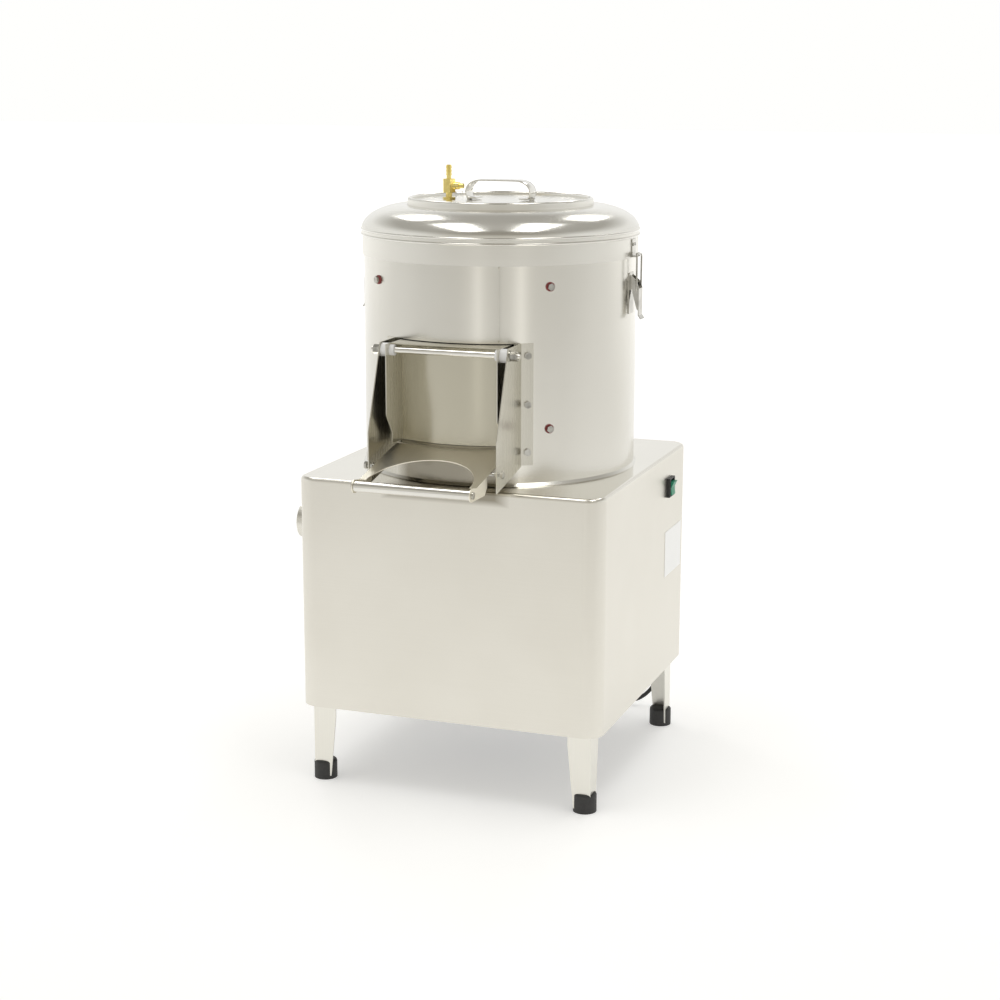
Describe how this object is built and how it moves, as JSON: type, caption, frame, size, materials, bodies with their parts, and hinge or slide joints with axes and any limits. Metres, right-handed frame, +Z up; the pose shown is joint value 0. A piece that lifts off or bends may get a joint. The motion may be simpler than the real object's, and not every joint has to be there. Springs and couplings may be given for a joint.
{
  "type": "electric potato peeler",
  "caption": "Floor-standing electric potato peeler: stainless drum with latched lid, water valve and discharge door on a square cabinet with legs, drain pipe and mains cord.",
  "frame": {"origin": "on the floor, at the centre of the machine's bounding box without its mains cord; the drum axis stands at x 0.0193, y 0.0680 m", "axes": "+Z up along the drum axis, -Y towards the discharge door, +X towards the side with the switch"},
  "size_m": [0.5614, 0.7915, 0.973],
  "materials": {
    "stainless_brushed": "satin brushed",
    "stainless_polished": "polished",
    "zinc_steel": "zinc plated",
    "cast_aluminium": "cast",
    "grit": "silicon carbide grit",
    "cast_iron": "cast",
    "motor_paint": "semi gloss",
    "black_rubber": "matt",
    "white_rubber": "matt",
    "red_fibre": "matt",
    "white_nylon": "satin",
    "brass": "machined",
    "black_plastic": "satin",
    "green_plastic": "gloss",
    "white_label": "bare"
  },
  "bodies": {
    "cabinet": {"cabinet_shell": "stainless_brushed", "base_frame": "stainless_brushed", "legs": "stainless_brushed", "rubber_feet": "black_rubber", "frame_bolts": "zinc_steel", "drum_shell": "stainless_brushed", "drum_floor": "stainless_brushed", "abrasive_liners": "grit", "liner_screws": "stainless_polished", "liner_washers": "red_fibre", "drain_pipe": "stainless_brushed", "drain_grommet": "white_rubber", "bearing_housing": "cast_iron", "shaft_bearings": "zinc_steel", "shaft_seal": "black_rubber", "drive_belt": "black_rubber", "motor_body": "motor_paint", "fan_cover": "motor_paint", "motor_plate": "zinc_steel", "cheek_right": "stainless_brushed", "cheek_left": "stainless_brushed", "cheek_bolts": "stainless_polished", "pivot_rod": "stainless_polished", "pivot_nuts": "stainless_polished", "stop_bolts": "stainless_polished", "latch_bases": "stainless_polished", "switch_bezel": "black_plastic", "rating_plate": "white_label", "cable_gland": "black_plastic", "cord_coil": "black_rubber", "power_cord": "black_rubber", "power_plug": "black_rubber", "plug_pins": "zinc_steel"},
    "disc_drive": {"main_shaft": "zinc_steel", "peeling_disc": "grit", "disc_nut": "stainless_polished", "drive_pulley": "cast_iron"},
    "motor_rotor": {"motor_shaft": "zinc_steel", "motor_pulley": "cast_aluminium", "motor_fan": "black_plastic"},
    "door": {"pivot_bushes": "white_nylon", "door_panel": "stainless_brushed", "door_arms": "stainless_brushed", "door_tray": "stainless_brushed", "handle_bar": "stainless_polished", "handle_screws": "stainless_polished"},
    "lid": {"lid_shell": "stainless_polished", "lid_gasket": "white_rubber", "lid_handle": "stainless_polished", "lid_rivets": "stainless_polished", "latch_keepers": "stainless_polished", "valve_body": "brass", "spray_nozzle": "brass"},
    "valve_stem": {"valve_stem": "brass"},
    "latch_lever_right": {"latch_lever_right": "stainless_polished"},
    "latch_lever_left": {"latch_lever_left": "stainless_polished"},
    "latch_bail_right": {"latch_bail_right": "stainless_polished"},
    "latch_bail_left": {"latch_bail_left": "stainless_polished"},
    "switch_rocker": {"switch_rocker": "green_plastic"}
  },
  "joints": [
    {"name": "disc_spin", "type": "hinge", "parent": "cabinet", "child": "disc_drive", "pos_m": [0.01926, 0.068, 0], "axis": [0, 0, 1], "continuous": true},
    {"name": "motor_spin", "type": "hinge", "parent": "cabinet", "child": "motor_rotor", "pos_m": [0.01926, 0.218, 0], "axis": [0, 0, 1], "continuous": true},
    {"name": "door_open", "type": "hinge", "parent": "cabinet", "child": "door", "pos_m": [0.01926, -0.175, 0.707], "axis": [-1, 0, 0], "range_deg": [0, 75]},
    {"name": "lid_lift_off", "type": "slide", "parent": "cabinet", "child": "lid", "axis": [0, 0, 1], "range_m": [0, 0.12]},
    {"name": "valve_turn", "type": "hinge", "parent": "lid", "child": "valve_stem", "pos_m": [-0.06474, 0.058, 0.94], "axis": [1, 0, 0], "range_deg": [0, 90]},
    {"name": "switch_rock", "type": "hinge", "parent": "cabinet", "child": "switch_rocker", "pos_m": [0.26826, 0.202, 0.4445], "axis": [0, -1, 0], "range_deg": [0, 16]},
    {"name": "latch_lever_right_open", "type": "hinge", "parent": "cabinet", "child": "latch_lever_right", "pos_m": [0.24526, 0.068, 0.797], "axis": [0, -1, 0], "range_deg": [0, 110]},
    {"name": "latch_bail_right_swing", "type": "hinge", "parent": "latch_lever_right", "child": "latch_bail_right", "pos_m": [0.24956, 0.068, 0.785], "axis": [0, -1, 0], "range_deg": [-137.5, 0]},
    {"name": "latch_lever_left_open", "type": "hinge", "parent": "cabinet", "child": "latch_lever_left", "pos_m": [-0.20674, 0.068, 0.797], "axis": [0, 1, 0], "range_deg": [0, 110]},
    {"name": "latch_bail_left_swing", "type": "hinge", "parent": "latch_lever_left", "child": "latch_bail_left", "pos_m": [-0.21104, 0.068, 0.785], "axis": [0, 1, 0], "range_deg": [-137.5, 0]}
  ],
  "couplings": [
    {"joint": "motor_spin", "follows": "disc_spin", "ratio": 3.6},
    {"joint": "latch_bail_right_swing", "follows": "latch_lever_right_open", "ratio": -1.25},
    {"joint": "latch_bail_left_swing", "follows": "latch_lever_left_open", "ratio": -1.25}
  ]
}
